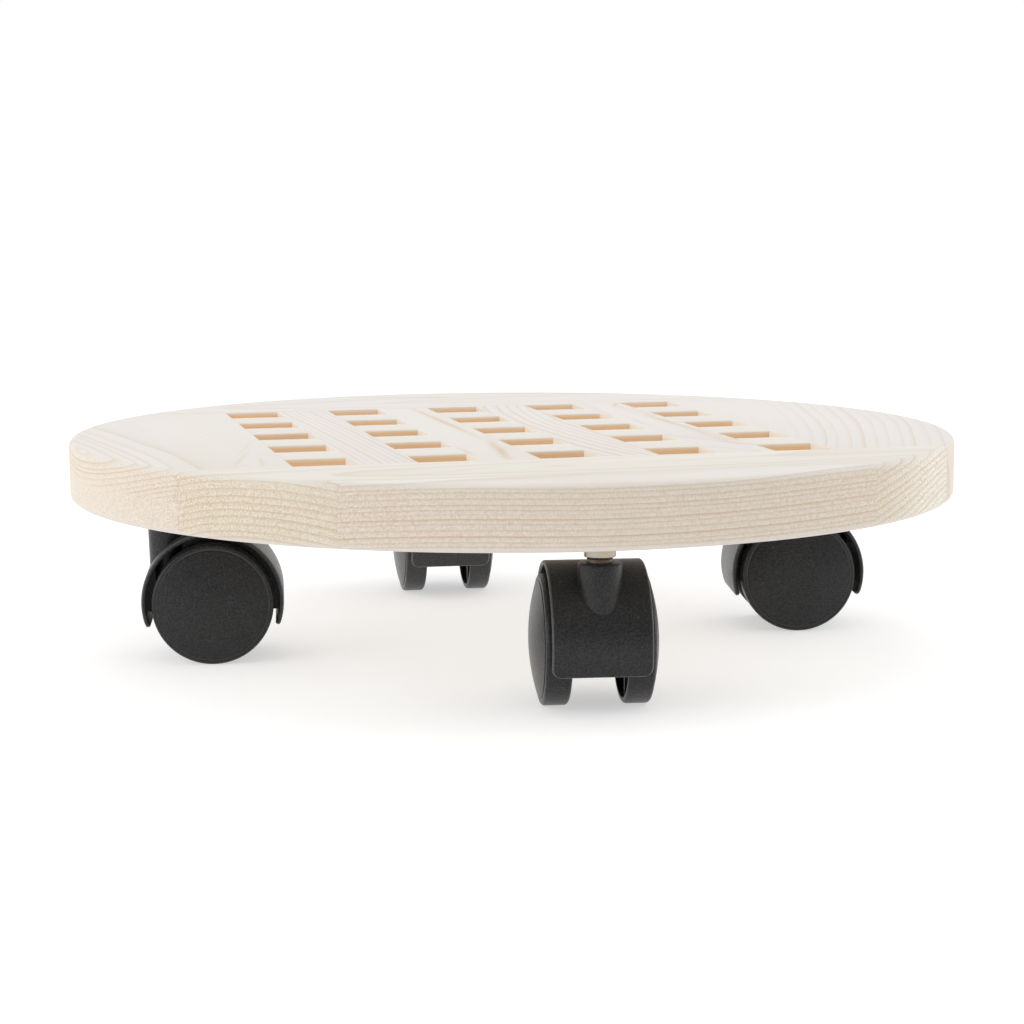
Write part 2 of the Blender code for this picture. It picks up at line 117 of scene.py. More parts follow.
# Wheel
WHEEL_RADIUS = 20.0 * MM
WHEEL_INNER_PLANE = 8.4 * MM
WHEEL_FACE_EDGE = 16.3 * MM
WHEEL_FACE_CROWN = 19.5 * MM
WHEEL_FACE_RADIUS = 19.35 * MM
WHEEL_STEPS = 96
FACE_STEPS = 10
FACE_GROOVE_SHARE = 0.93
# Each point of the groove: how far out from the groove's start, and how far below the face there
FACE_GROOVE = ((0.10 * MM, 0.26 * MM), (0.26 * MM, 0.30 * MM), (0.60 * MM, 0.24 * MM))
# Painted highlight: the band past the groove's start where the wheel face gets the paler material.
LIP_HIGHLIGHT_FROM = 0.2 * MM
LIP_HIGHLIGHT_TO = 0.6 * MM
TREAD_ROUND = 1.2 * MM
TREAD_SETBACK = 1.0 * MM
TREAD_ROUND_STEPS = 6
TREAD_ROUND_FROM = 66
WHEEL_WALL = 1.1 * MM
RIM_INSIDE = 18.2 * MM
RIM_START = 0.05 * MM
RIM_DRAFT = 0.4 * MM
HUB_RADIUS = 5.0 * MM
HUB_DRAFT = 0.2 * MM
HUB_END = WEB_HALF_WIDTH + 0.4 * MM
BORE_RADIUS = AXLE_RADIUS + 0.12 * MM
BORE_INTO_WALL = 0.6 * MM
WHEEL_EASING = 0.3 * MM
RIB_COUNT = 6
RIB_THICKNESS = 1.2 * MM
RIB_SETBACK = 1.2 * MM
RIB_INTO_HUB = 0.8 * MM
RIB_INTO_WALL = 0.4 * MM

# Stem, clip groove and insert
COLLAR_RADIUS = 4.75 * MM
COLLAR_HEIGHT = 6.2 * MM
COLLAR_GAP = 0.1 * MM
STUD_RADIUS = 4.0 * MM
STUD_LENGTH = 12.5 * MM
STUD_CHAMFER = 0.6 * MM
STEM_PIN_RADIUS = 3.9 * MM
STEM_PIN_REACH = 28 * MM
STEM_NECK_RADIUS = 3.6 * MM
STEM_NECK_LENGTH = 0.5 * MM
STEM_NECK_SLOPE = 0.05 * MM
STEM_EASING = 0.35 * MM
STEM_STEPS = 64
STEM_CREASE = 35
CLIP_DROP = 23.0 * MM
CLIP_GROOVE_RADIUS = 3.1 * MM
CLIP_GROOVE_HALF_HEIGHT = 0.8 * MM
CLIP_RECESS_RADIUS = 4.6 * MM
CLIP_RECESS_HALF_HEIGHT = 1.0 * MM
SOCKET_RADIUS = STEM_PIN_RADIUS + 0.15 * MM
INSERT_BORE_RADIUS = 4.1 * MM
INSERT_GAP = 0.2 * MM
INSERT_REACH = 13.0 * MM
INSERT_FLANGE_RADIUS = 6.0 * MM
INSERT_FLANGE_HEIGHT = 1.2 * MM
INSERT_FLANGE_SLOPE = 0.4 * MM
INSERT_NECK_RADIUS = 5.4 * MM
INSERT_ROOT_RADIUS = 5.3 * MM
INSERT_BARBS = 3
INSERT_BARB_RADIUS = 5.95 * MM
INSERT_BARB_START = 3.0 * MM
INSERT_BARB_HEIGHT = 0.6 * MM
INSERT_BARB_PITCH = 3.3 * MM
INSERT_CREASE = 30
TURNED_STEPS = 48


# ---------------------------------------------------------------------------------------------
# Node graphs


class Graph:
    """Adds the nodes of one material. Every call returns the output socket that the next one takes."""

    def __init__(self, name):
        self.material = bpy.data.materials.new(name)
        self.material.use_nodes = True
        self.tree = self.material.node_tree
        self.shader = self.tree.nodes["Principled BSDF"]

    def feed(self, socket, value):
        if isinstance(value, bpy.types.NodeSocket):
            self.tree.links.new(value, socket)
        else:
            socket.default_value = value

    def node(self, kind, **inputs):
        made = self.tree.nodes.new("ShaderNode" + kind)
        for name, value in inputs.items():
            self.feed(made.inputs[name], value)
        return made

    def math(self, operation, *values, clamp=False):
        made = self.tree.nodes.new("ShaderNodeMath")
        made.operation = operation
        made.use_clamp = clamp
        for socket, value in zip(made.inputs, values):
            self.feed(socket, value)
        return made.outputs[0]

    def add(self, *values):
        total = values[0]
        for value in values[1:]:
            total = self.math("ADD", total, value)
        return total

    def times(self, *values):
        product = values[0]
        for value in values[1:]:
            product = self.math("MULTIPLY", product, value)
        return product

    def join(self, x, y, z=0.0):
        return self.node("CombineXYZ", X=x, Y=y, Z=z).outputs[0]

    def split(self, vector):
        return self.node("SeparateXYZ", Vector=vector).outputs

    def place(self):
        return self.node("TexCoord").outputs["Object"]

    def noise(self, vector, scale=1.0, detail=2.0, roughness=0.5, signed=False):
        made = self.node("TexNoise", Vector=vector, Scale=scale, Detail=detail, Roughness=roughness)
        value = made.outputs[0]
        return self.math("MULTIPLY_ADD", value, 2.0, -1.0) if signed else value

    def ramp(self, value, *stops):
        made = self.node("ValToRGB", Fac=value)
        elements = made.color_ramp.elements
        while len(elements) < len(stops):
            elements.new(0.5)
        for element, (position, level) in zip(elements, stops):
            element.position = position
            element.color = level if isinstance(level, tuple) else (level, level, level, 1.0)
        return made.outputs[0]

    def mix(self, factor, first, second, blend="MIX"):
        made = self.tree.nodes.new("ShaderNodeMix")
        made.data_type = "RGBA"
        made.blend_type = blend
        self.feed(made.inputs[0], factor)
        self.feed(made.inputs[6], first)
        self.feed(made.inputs[7], second)
        return made.outputs[2]

    def bell(self, *offsets):
        """1 at the middle of a bump and 0 far from it. An offset is 1 at the bump's own size."""
        squares = self.add(*[self.times(value, value) for value in offsets])
        return self.math("EXPONENT", self.times(squares, -1.0))

    def bump(self, height, distance, strength=1.0):
        made = self.node("Bump", Height=height, Distance=distance, Strength=strength)
        self.feed(self.shader.inputs["Normal"], made.outputs[0])


# ---------------------------------------------------------------------------------------------
# Pine: growth rings round each board's own pith, fibres, flecks, and the marks a board has

PLANED_EARLYWOOD = (0.686, 0.668, 0.645, 1.0)
PLANED_LATEWOOD = (0.56, 0.478, 0.38, 1.0)
RIM_EARLYWOOD = (0.725, 0.665, 0.592, 1.0)
RIM_LATEWOOD = (0.53, 0.335, 0.170, 1.0)
RIM_END_GRAIN = (0.465, 0.36, 0.255, 1.0)
# Painted shade and painted light for the sides in the holes: a shaded, bounce-lit orange and a lit pale.
SHADED_HOLE_WALL = (0.88, 0.58, 0.32, 1.0)
LIT_HOLE_WALL = (0.86, 0.81, 0.73, 1.0)
# Painted light: a paler, greyer rim colour for a board's brightly lit end.
LIT_RIM_END = (0.88, 0.868, 0.855, 1.0)
RESIN = (0.55, 0.36, 0.19, 1.0)
PINK_CAST = (1.0, 0.975, 0.97, 1.0)
YELLOW_CAST = (1.0, 0.993, 0.935, 1.0)
PLANED_CONTRAST = 0.85
LATTICE_REACH = 0.130
FADE_WIDTH = 0.012
# Painted light: the distance over which a board's rim goes to the painted paler end.
LIT_RIM_FADE = 0.025
# Painted shade: how deep the lit pale top of a hole's sides takes to give way to the painted shade.
HOLE_SHADE_DEPTH = 2.0 * MM


def pine(
    name,
    grain,
    pith,
    lean=(0.0, 0.0),
    bow=0.0,
    ring=2.0 * MM,
    contrast=1.0,
    wander=0.8 * MM,
    seed=0.0,
    streaks=(),
    yellow=0.5,
    fade_below=None,
    faint=None,
    lit_rim_from=None,
    wall_shading=0.9,
    dots=0.30,
):
    """Pine for one board.

    grain is the axis that its fibres follow. pith is the tree's centre as the board sees it: its place
    across the grain, and its height over the deck's underside. lean is how far that centre moves each
    way per metre along the grain, and bow is how much that path curves. Rings lower than fade_below, a
    share of the thickness, are faint. faint is (distance right of the pith, way), and rings past that
    distance, going that way, are faint too. Past lit_rim_from along the grain, the rim is painted paler,
    as painted light on the board's brightly lit end. A streak of resin is (along, across, lean, length,
    width, strength). yellow is how yellow the board is as a whole, and dots how dark its fibres are where
    they are cut across. The sides in the holes are painted with light and shade, and wall_shading is how
    far they go from a painted lit pale to a painted shade that is orange deep down and paler at the top.
    """
    g = Graph(name)
    x, y, z = g.split(g.place())
    along, across = (x, y) if grain == "X" else (y, x)
    up = g.add(z, -DECK_BOTTOM)
    normal = g.split(g.node("NewGeometry").outputs["Normal"])
    upright = g.math("SUBTRACT", 1.0, g.math("ABSOLUTE", normal[2]), clamp=True)
    endwise = normal[0] if grain == "X" else normal[1]
    endwise = g.times(endwise, endwise)
    from_middle = g.math("SQRT", g.add(g.times(x, x), g.times(y, y)))
    in_hole = g.times(upright, g.math("LESS_THAN", from_middle, LATTICE_REACH))

    # The trunk is never quite straight, so its centre wanders a little along the board.
    slow = g.join(g.times(along, 8.0), g.times(across, 20.0), g.add(g.times(up, 20.0), seed))
    fine = g.join(g.times(along, 38.0), g.times(across, 150.0), g.add(g.times(up, 150.0), seed + 5.0))
    drift = g.times(g.noise(slow, detail=1.0, signed=True), wander * 4.0)
    ripple = g.times(g.noise(fine, detail=1.0, signed=True), wander * 0.3)
    side = g.add(across, -pith[0], g.times(along, -lean[0]), g.times(along, along, -bow))
    height = g.add(up, -pith[1], g.times(along, -lean[1]))
    radius = g.math("SQRT", g.add(g.times(side, side), g.times(height, height)))
    radius = g.add(radius, drift, ripple)

    # Some years are wide and some narrow, and some end in a darker line than others.
    years = g.times(radius, 1.0 / ring)
    uneven = g.noise(g.join(g.times(years, 0.31), seed + 2.0), detail=2.0, signed=True)
    years = g.add(years, g.times(uneven, 0.8))
    phase = g.math("FRACT", years)
    late = g.ramp(phase, (0.0, 0.0), (0.50, 0.05), (0.80, 0.55), (0.92, 1.0), (1.0, 0.0))
    depth = g.noise(g.join(g.times(g.math("FLOOR", years), 0.73), seed + 8.0), detail=0.0)
    late = g.times(late, g.ramp(depth, (0.25, 0.35), (0.75, 1.0)), contrast)
    if fade_below is not None:
        level = g.times(up, 1.0 / DECK_THICKNESS)
        late = g.times(late, g.ramp(level, (fade_below - 0.16, 0.12), (fade_below, 1.0)))
    if faint is not None:
        past = g.times(g.add(side, -faint[0]), faint[1] / FADE_WIDTH)
        late = g.times(late, g.ramp(past, (0.0, 1.0), (1.0, 0.14)))

    # Fibres are a fraction of a millimetre thick and run far along the grain. Cut across, they are dots.
    fibre = g.join(g.times(along, 110.0), g.times(across, 2100.0), g.add(g.times(up, 2100.0), seed))
    fibre = g.noise(fibre, detail=2.0, roughness=0.6)
    pores = g.ramp(fibre, (0.34, 1.0), (0.60, 0.0))
    ticks = g.join(g.times(x, 2300.0), g.times(y, 2300.0), g.add(g.times(z, 1100.0), seed))
    ticks = g.ramp(g.noise(ticks, detail=1.0), (0.46, 0.0), (0.64, 1.0))
    cloud = g.join(g.times(along, 5.0), g.times(across, 34.0), g.add(g.times(up, 34.0), seed + 3.0))
    cloud = g.add(g.times(g.noise(cloud, detail=3.0, signed=True), 0.9), yellow)

    planed = g.mix(g.times(late, PLANED_CONTRAST), PLANED_EARLYWOOD, PLANED_LATEWOOD)
    planed = g.mix(g.times(pores, 0.10), planed, PLANED_LATEWOOD)
    early = RIM_EARLYWOOD
    # Painted light: past this point along the grain the rim goes to a paler, greyer colour that stands in
    # for the strong light on the board's end.
    if lit_rim_from is not None:
        past = g.times(g.add(along, -lit_rim_from), 1.0 / LIT_RIM_FADE)
        early = g.mix(g.math("ADD", past, 0.0, clamp=True), RIM_EARLYWOOD, LIT_RIM_END)
    rim = g.mix(g.times(late, 0.9), early, RIM_LATEWOOD)
    rim = g.mix(g.times(pores, g.math("MULTIPLY_ADD", endwise, dots * 2.0, dots * 0.4)), rim, RIM_END_GRAIN)
    rim = g.mix(g.times(ticks, dots * 0.5), rim, RIM_END_GRAIN)
    colour = g.mix(upright, planed, rim)
    for at_along, at_across, slant, length, width, strength in streaks:
        waver = g.times(g.noise(g.join(g.times(along, 30.0), seed + 4.0), detail=1.0, signed=True), width)
        beyond = g.add(along, -at_along)
        aside = g.add(across, -at_across, g.times(beyond, -slant), waver)
        mark = g.bell(g.times(beyond, 1.0 / length), g.times(aside, 1.0 / width))
        broken = g.ramp(fibre, (0.25, 1.0), (0.75, 0.55))
        colour = g.mix(g.math("MULTIPLY", g.times(mark, broken), strength, clamp=True), colour, RESIN)
    cast = g.mix(g.math("ADD", cloud, 0.0, clamp=True), PINK_CAST, YELLOW_CAST)
    colour = g.mix(1.0, colour, cast, "MULTIPLY")
    # Painted light and shade in the holes: the sides are painted an orange shade deep down that goes to a
    # painted lit pale near the top, and the last mix paints some boards' sides mostly in the lit pale.
    depth = g.times(g.add(DECK_THICKNESS, g.times(up, -1.0)), 1.0 / HOLE_SHADE_DEPTH)
    painted_wall = g.mix(g.times(late, 0.3), SHADED_HOLE_WALL, RIM_END_GRAIN)
    painted_wall = g.mix(g.ramp(depth, (0.15, 0.8), (0.65, 0.0)), painted_wall, LIT_HOLE_WALL)
    colour = g.mix(in_hole, colour, g.mix(wall_shading, LIT_HOLE_WALL, painted_wall))

    g.feed(g.shader.inputs["Base Color"], colour)
    g.feed(g.shader.inputs["Roughness"], g.math("MULTIPLY_ADD", fibre, 0.22, 0.46))
    relief = g.add(g.times(fibre, 0.6), g.times(late, 0.5), g.times(ticks, upright, 0.4))
    g.bump(relief, 0.05 * MM, 0.5)
    return g.material


# ---------------------------------------------------------------------------------------------
# Black nylon and plated steel

BLACK_NYLON = 0.0080
# Painted light: the back caster's paler copy of the same black nylon, for the haze over it.
HAZE_LIT_NYLON = 0.034


def nylon(name, seed, base):
    """Moulded black nylon: a fine spark-eroded texture, faint flow marks and a few pale specks of dust.
    base is its brightness, and seed moves the texture.
    """
    g = Graph(name)
    x, y, z = g.split(g.place())
    shifted = g.join(x, y, g.add(z, seed))
    grain = g.ramp(g.noise(shifted, scale=1700.0, detail=1.0), (0.38, 0.0), (0.62, 1.0))
    flow = g.noise(shifted, scale=65.0, detail=3.0)
    speck = g.ramp(g.noise(shifted, scale=640.0, detail=1.0), (0.735, 0.0), (0.80, 1.0))
    dark = (base - 0.0075, base - 0.0076, base - 0.0077, 1.0)
    light = (base + 0.0120, base + 0.0116, base + 0.0120, 1.0)
    dust = (0.14, 0.135, 0.13, 1.0)
    tone = g.add(g.times(g.ramp(flow, (0.3, 0.0), (0.7, 1.0)), 0.15), g.times(grain, 0.85))
    colour = g.mix(g.times(speck, 0.30), g.mix(tone, dark, light), dust)
    g.feed(g.shader.inputs["Base Color"], colour)
    g.shader.inputs["IOR"].default_value = 1.43
    g.shader.inputs["Sheen Weight"].default_value = 0.06
    g.shader.inputs["Sheen Roughness"].default_value = 0.35
    g.feed(g.shader.inputs["Roughness"], g.math("MULTIPLY_ADD", flow, 0.14, 0.26))
    g.bump(g.add(grain, g.times(flow, 0.5)), 0.050 * MM, 0.8)
    return g.material


def plated_steel(name, shaded_below):
    """Turned steel under a warm bright zinc plating, with fine lathe marks round it. Under the collar it
    is painted dark, as painted shade where the pin sits in the housing's shadow.
    """
    g = Graph(name)
    x, y, z = g.split(g.place())
    turned = g.noise(g.join(0.0, 0.0, g.times(z, 9000.0)), detail=2.0)
    blotch = g.noise(g.join(x, y, z), scale=260.0, detail=2.0)
    cool = (0.40, 0.37, 0.33, 1.0)
    warm = (0.44, 0.36, 0.26, 1.0)
    pin_shade = (0.10, 0.085, 0.065, 1.0)
    plating = g.mix(g.ramp(blotch, (0.35, 0.0), (0.65, 1.0)), cool, warm)
    # Painted shade: below the collar the steel is painted near black.
    in_pin_shade = g.math("LESS_THAN", z, shaded_below)
    g.feed(g.shader.inputs["Base Color"], g.mix(in_pin_shade, plating, pin_shade))
    g.shader.inputs["Metallic"].default_value = 1.0
    g.feed(g.shader.inputs["Roughness"], g.math("MULTIPLY_ADD", blotch, 0.16, 0.20))
    g.bump(turned, 0.012 * MM, 0.5)
    return g.material


# ---------------------------------------------------------------------------------------------
# Mesh helpers


def piece(name, mesh, body, node, materials, matrix=Matrix()):
    """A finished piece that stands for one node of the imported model."""
    obj = bpy.data.objects.new(name, mesh)
    bpy.context.scene.collection.objects.link(obj)
    obj.matrix_world = matrix
    while len(mesh.materials) < len(materials):
        mesh.materials.append(None)
    for index, material in enumerate(materials):
        mesh.materials[index] = material
    bpy.context.view_layer.update()
    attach(obj, body)
    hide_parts(node)


def to_mesh(bm, name, sharp=None):
    """The finished mesh, facing outwards. sharp is the angle past which a smooth mesh keeps its edges."""
    mesh = bpy.data.meshes.new(name)
    bmesh.ops.recalc_face_normals(bm, faces=bm.faces)
    bm.to_mesh(mesh)
    bm.free()
    if sharp is not None:
        mesh.shade_smooth()
        mesh.set_sharp_from_angle(angle=math.radians(sharp))
    return mesh


def arc(radius, start, end, steps, centre=(0.0, 0.0)):
    """Points along an arc between two angles in degrees."""
    turns = [math.radians(start + (end - start) * i / steps) for i in range(steps + 1)]
    return [(centre[0] + radius * math.cos(a), centre[1] + radius * math.sin(a)) for a in turns]


def circle(bm, radius, height, steps):
    """A loop of vertices about Z."""
    turns = [2 * math.pi * i / steps for i in range(steps)]
    return [bm.verts.new((radius * math.cos(a), radius * math.sin(a), height)) for a in turns]


def bridge(bm, one, two):
    """Quads between two closed loops of vertices."""
    for i in range(len(one)):
        after = (i + 1) % len(one)
        bm.faces.new((one[i], two[i], two[after], one[after]))


def lathe(profile, steps):
    """A solid turned about Z from (radius, height) points. Ends on the axis close it."""
    bm = bmesh.new()
    rings = []
    for radius, height in profile:
        if radius < WELD:
            rings.append([bm.verts.new((0.0, 0.0, height))])
        else:
            rings.append(circle(bm, radius, height, steps))
    closed = len(rings[0]) > 1
    for one, two in zip(rings, rings[1:] + ([rings[0]] if closed else [])):
        for i in range(steps):
            j = i + 1
            corners = [one[i % len(one)], one[j % len(one)], two[j % len(two)], two[i % len(two)]]
            corners = [v for k, v in enumerate(corners) if v not in corners[:k]]
            if len(corners) > 2:
                bm.faces.new(corners)
    return bm


def rounded(points, radius, steps=3):
    """The corners of an open outline rounded. radius is one for all, and both ends stay."""
    out = [points[0]]
    for before, corner, after in zip(points, points[1:], points[2:]):
        corner, before, after = Vector(corner), Vector(before), Vector(after)
        first, last = (before - corner), (after - corner)
        reach = min(radius, first.length * 0.45, last.length * 0.45)
        start = corner + first.normalized() * reach
        end = corner + last.normalized() * reach
        for i in range(steps + 1):
            t = i / steps
            spot = start * (1 - t) ** 2 + corner * 2 * t * (1 - t) + end * t**2
            out.append((spot.x, spot.y))
    return out + [points[-1]]


def turned_at(profile, steps, name, matrix):
    bm = lathe(profile, steps)
    bmesh.ops.transform(bm, matrix=matrix, verts=bm.verts)
    return to_mesh(bm, name)


def rod(radius, low, high):
    """The profile of a plain turned rod."""
    return [(0.0, low), (radius, low), (radius, high), (0.0, high)]


def cut(mesh, tool, operation):
    """The mesh after an exact Boolean with the tool's mesh."""
    target = bpy.data.objects.new("target", mesh)
    other = bpy.data.objects.new("tool", tool)
    for obj in (target, other):
        bpy.context.scene.collection.objects.link(obj)
    modifier = target.modifiers.new("cut", "BOOLEAN")
    modifier.operation = operation
    modifier.object = other
    modifier.solver = "EXACT"
    return baked(target, other)


def baked(obj, *helpers):
    """The object's shape after its modifiers, as a new mesh. The objects are removed."""
    bpy.context.view_layer.update()
    mesh = bpy.data.meshes.new_from_object(obj.evaluated_get(bpy.context.evaluated_depsgraph_get()))
    for one in (obj, *helpers):
        bpy.data.objects.remove(one)
    return mesh


def creased(mesh):
    """The mesh shaded smooth, but for the edges of its flat faces."""
    mesh.shade_smooth()
    mesh.set_sharp_from_angle(angle=math.radians(CASTER_CREASE))
    return mesh


def without_slivers(mesh):
    """The mesh after the slivers that Booleans leave are closed up."""
    bm = bmesh.new()
    bm.from_mesh(mesh)
    bmesh.ops.remove_doubles(bm, verts=bm.verts, dist=SLIVER)
    bmesh.ops.dissolve_degenerate(bm, edges=bm.edges, dist=SLIVER)
    bm.to_mesh(mesh)
    bm.free()
    return mesh


# ---------------------------------------------------------------------------------------------
# Deck


def disc():
    """The whole deck as one round slab with its eased rim, ready to be sawn into boards."""
    inset = DECK_RADIUS - EDGE_ROUND
    top = arc(EDGE_ROUND, 90, 0, EDGE_ROUND_STEPS, (inset, DECK_TOP - EDGE_ROUND))
    foot = arc(EDGE_ROUND, 0, -90, EDGE_ROUND_STEPS, (inset, DECK_BOTTOM + EDGE_ROUND))
    bm = bmesh.new()
    rings = [circle(bm, radius, height, DECK_STEPS) for radius, height in top + foot]
    for one, two in zip(rings, rings[1:]):
        bridge(bm, one, two)
    bm.faces.new(rings[0])
    bm.faces.new(list(reversed(rings[-1])))
    return bm


def sawn(bm, point, outwards):
    """The solid cut off flat at a plane, with the cut closed."""
    geometry = bm.verts[:] + bm.edges[:] + bm.faces[:]
    result = bmesh.ops.bisect_plane(
        bm, geom=geometry, dist=WELD, plane_co=point, plane_no=outwards, clear_outer=True
    )
    edges = [item for item in result["geom_cut"] if isinstance(item, bmesh.types.BMEdge)]
    bmesh.ops.edgenet_fill(bm, edges=edges)


def board(node, left=None, right=None, near=None, far=None):
    """One outer board: the slab sawn on the sides that are named, with its meeting edges just eased."""
    bm = disc()
    for limit, axis, side in ((left, 0, -1), (right, 0, 1), (near, 1, -1), (far, 1, 1)):
        if limit is not None:
            point, normal = Vector((0, 0, 0)), Vector((0, 0, 0))
            point[axis] = limit
            normal[axis] = side
            sawn(bm, point, normal)
    bmesh.ops.remove_doubles(bm, verts=bm.verts, dist=BOARD_WELD)
    bmesh.ops.recalc_face_normals(bm, faces=bm.faces)
    corner = math.radians(BOARD_CORNER)
    corners = [e for e in bm.edges if len(e.link_faces) == 2 and e.calc_face_angle() > corner]
    bmesh.ops.bevel(bm, geom=corners, offset=BOARD_EASING, segments=2, profile=0.5, affect="EDGES")
    return to_mesh(bm, node, sharp=BOARD_CREASE)


def slat_outline(length, half_depth, pitch, width, notched_below):
    """Side view of a slat, with a half-lap notch wherever it crosses a slat of the other set."""
    outer = half_depth if notched_below else -half_depth
    edge = -outer
    points = [(-length / 2, outer), (-length / 2, edge)]
    for i in range(CROSSINGS):
        centre = (i - (CROSSINGS - 1) / 2) * pitch
        points += [
            (centre - width / 2, edge),
            (centre - width / 2, 0.0),
            (centre + width / 2, 0.0),
            (centre + width / 2, edge),
        ]
    return points + [(length / 2, edge), (length / 2, outer)]


def borders_hole(one, two):
    """Whether an edge of a cross slat lies along the deck's top and along the slat."""
    on_top = min(one.z, two.z) > DECK_TOP - BOARD_WELD
    return on_top and abs(one.y - two.y) < BOARD_WELD


def slat(node, along, centre, length, width, pitch):
    """A lattice slat: its notched side view given its width, with eased edges."""
    middle = (DECK_TOP + DECK_BOTTOM) / 2
    outline = slat_outline(length, DECK_THICKNESS / 2, pitch, width, along == "Y")
    bm = bmesh.new()
    faces = []
    for side in (-1, 1):
        corners = []
        for a, z in outline:
            spot = (side * width / 2, a, z) if along == "Y" else (a, side * width / 2, z)
            corners.append(bm.verts.new(Vector(spot) + Vector((centre[0], centre[1], middle))))
        faces.append(bm.faces.new(corners))
    bridge(bm, *(list(face.verts) for face in faces))
    bmesh.ops.recalc_face_normals(bm, faces=bm.faces)
    if along == "X":
        edges = [edge for edge in bm.edges if borders_hole(*(v.co for v in edge.verts))]
        bmesh.ops.bevel(bm, geom=edges, offset=HOLE_EDGE_EASING, segments=4, profile=0.5, affect="EDGES")
    else:
        bmesh.ops.bevel(bm, geom=bm.edges[:], offset=BOARD_EASING, segments=2, profile=0.5, affect="EDGES")
    return to_mesh(bm, node, sharp=BOARD_CREASE)


def halfway(one, two, axis):
    """The middle of the glue line where the node called one ends and the node called two begins."""
    return (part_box(one)[1][axis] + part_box(two)[0][axis]) / 2


def build_deck():
    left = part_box("left_side_board")[1][0]
    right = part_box("right_side_board")[0][0]
    near = halfway("front_rail_inner", "left_side_board", 1)
    far = halfway("left_side_board", "back_rail_inner", 1)
    near_seam = halfway("front_rail_outer", "front_rail_inner", 1)
    far_seam = halfway("back_rail_inner", "back_rail_outer", 1)
    plan = {
        "front_rail_outer": dict(far=near_seam),
        "front_rail_inner": dict(near=near_seam, far=near),
        "back_rail_inner": dict(near=far, far=far_seam),
        "back_rail_outer": dict(near=far_seam),
        "left_side_board": dict(right=left, near=near, far=far),
        "right_side_board": dict(left=right, near=near, far=far),
    }
    drilled = {
        "front_rail_inner": "front",
        "right_side_board": "right",
        "back_rail_inner": "back",
        "left_side_board": "left",
    }
    for node, sides in plan.items():
        mesh = board(node, **sides)
        if node in drilled:
            stem = STEMS[drilled[node]]
            at_stem = Matrix.Translation((stem.x, stem.y, 0.0))
            low, high = DECK_BOTTOM - DRILL_OVERRUN, DECK_BOTTOM + INSERT_POCKET_DEPTH
            pocket = rod(INSERT_POCKET_RADIUS, low, high)
            mesh = cut(mesh, turned_at(pocket, TURNED_STEPS, "drill", at_stem), "DIFFERENCE")
            mesh.set_sharp_from_angle(angle=math.radians(BOARD_CREASE))
        piece("pine_" + node, mesh, "deck", node, [PINE[node]])

    first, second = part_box("long_slat_1"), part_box("long_slat_2")
    pitch = second[0][0] - first[0][0]
    width = pitch / 2
    for i in range(1, CROSSINGS + 1):
        for kind, along in (("long_slat", "Y"), ("cross_slat", "X")):
            node = f"{kind}_{i}"
            low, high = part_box(node)
            centre = ((low[0] + high[0]) / 2, (low[1] + high[1]) / 2)
            length = far - near if along == "Y" else right - left
            mesh = slat(node, along, centre, length, width, pitch)
            piece("pine_" + node, mesh, "deck", node, [PINE[node]])


# ---------------------------------------------------------------------------------------------
# Casters


def drawn_in(distance, radius):
    """How far a round corner draws a straight edge in, at a distance from the end that it turns into."""
    past = max(0.0, radius - distance)
    return radius - math.sqrt(max(0.0, radius**2 - past**2))


def hood_mesh():
    """The curved cover over both wheels: a wall bent round a line just above the axle. Its lower
    corners are rounded and its edges are fully round, with a painted highlight: a paler line along
    the outside of the edges.
    """
    dip = math.asin((HOOD_TIP_DROP + HOOD_RISE) / HOOD_RADIUS)
    length = HOOD_RADIUS * (math.pi + 2 * dip)
    ends = [HOOD_CORNER * (1 - math.cos(math.radians(a))) for a in HOOD_CORNER_TURNS]
    middle = [HOOD_CORNER + (length - 2 * HOOD_CORNER) * i / HOOD_STEPS for i in range(HOOD_STEPS + 1)]
    bm = bmesh.new()
    loops = []
    for along in ends + middle + [length - s for s in reversed(ends)]:
        from_tip = min(along, length - along)
        half_width = HOOD_HALF_WIDTH - drawn_in(from_tip, HOOD_CORNER)
        half_wall = HOOD_WALL / 2 - drawn_in(from_tip, HOOD_WALL / 2)
        turn = along / HOOD_RADIUS - dip
        section = []
        for side, start in ((1, 0), (-1, 90), (-1, 180), (1, 270)):
            corner = (side * (half_width - half_wall), 0.0)
            section += arc(half_wall, start, start + 90, HOOD_EDGE_STEPS, corner)
        loop = []
        for across, outwards in section:
            reach = HOOD_RADIUS - HOOD_WALL / 2 + outwards
            spot = (reach * math.cos(turn), across, HOOD_RISE + reach * math.sin(turn))
            loop.append(bm.verts.new(spot))
        loops.append(loop)
    for one, two in zip(loops, loops[1:]):
        bridge(bm, two, one)
    bm.faces.new(loops[0])
    bm.faces.new(loops[-1])
    bmesh.ops.remove_doubles(bm, verts=bm.verts, dist=WELD)
    mesh = to_mesh(bm, "hood")
    mesh.materials.append(None)
    mesh.materials.append(None)
    # Painted highlight: the faces along the rounded outer edge take the second, paler material.
    for face in mesh.polygons:
        outwards = Vector((face.center.x, 0.0, face.center.z - HOOD_RISE)).normalized()
        face.material_index = int(EDGE_HIGHLIGHT_FROM < face.normal.dot(outwards) < EDGE_HIGHLIGHT_TO)
    return mesh


def web_mesh():
    """The web between the wheels: hood above, axle boss below."""
    into_hood = HOOD_RADIUS - HOOD_WALL / 2
    start = -math.degrees(math.asin((WEB_DROP + HOOD_RISE) / into_hood))
    outline = arc(into_hood, start, 180 - start, WEB_STEPS, (0.0, HOOD_RISE))
    outline += arc(AXLE_BOSS_RADIUS, AXLE_BOSS_FROM, AXLE_BOSS_TO, AXLE_BOSS_STEPS)
    bm = bmesh.new()
    faces = []
    for side in (-1, 1):
        faces.append(bm.faces.new([bm.verts.new((x, side * WEB_HALF_WIDTH, z)) for x, z in outline]))
    bridge(bm, *(list(face.verts) for face in faces))
    return to_mesh(bm, "web")


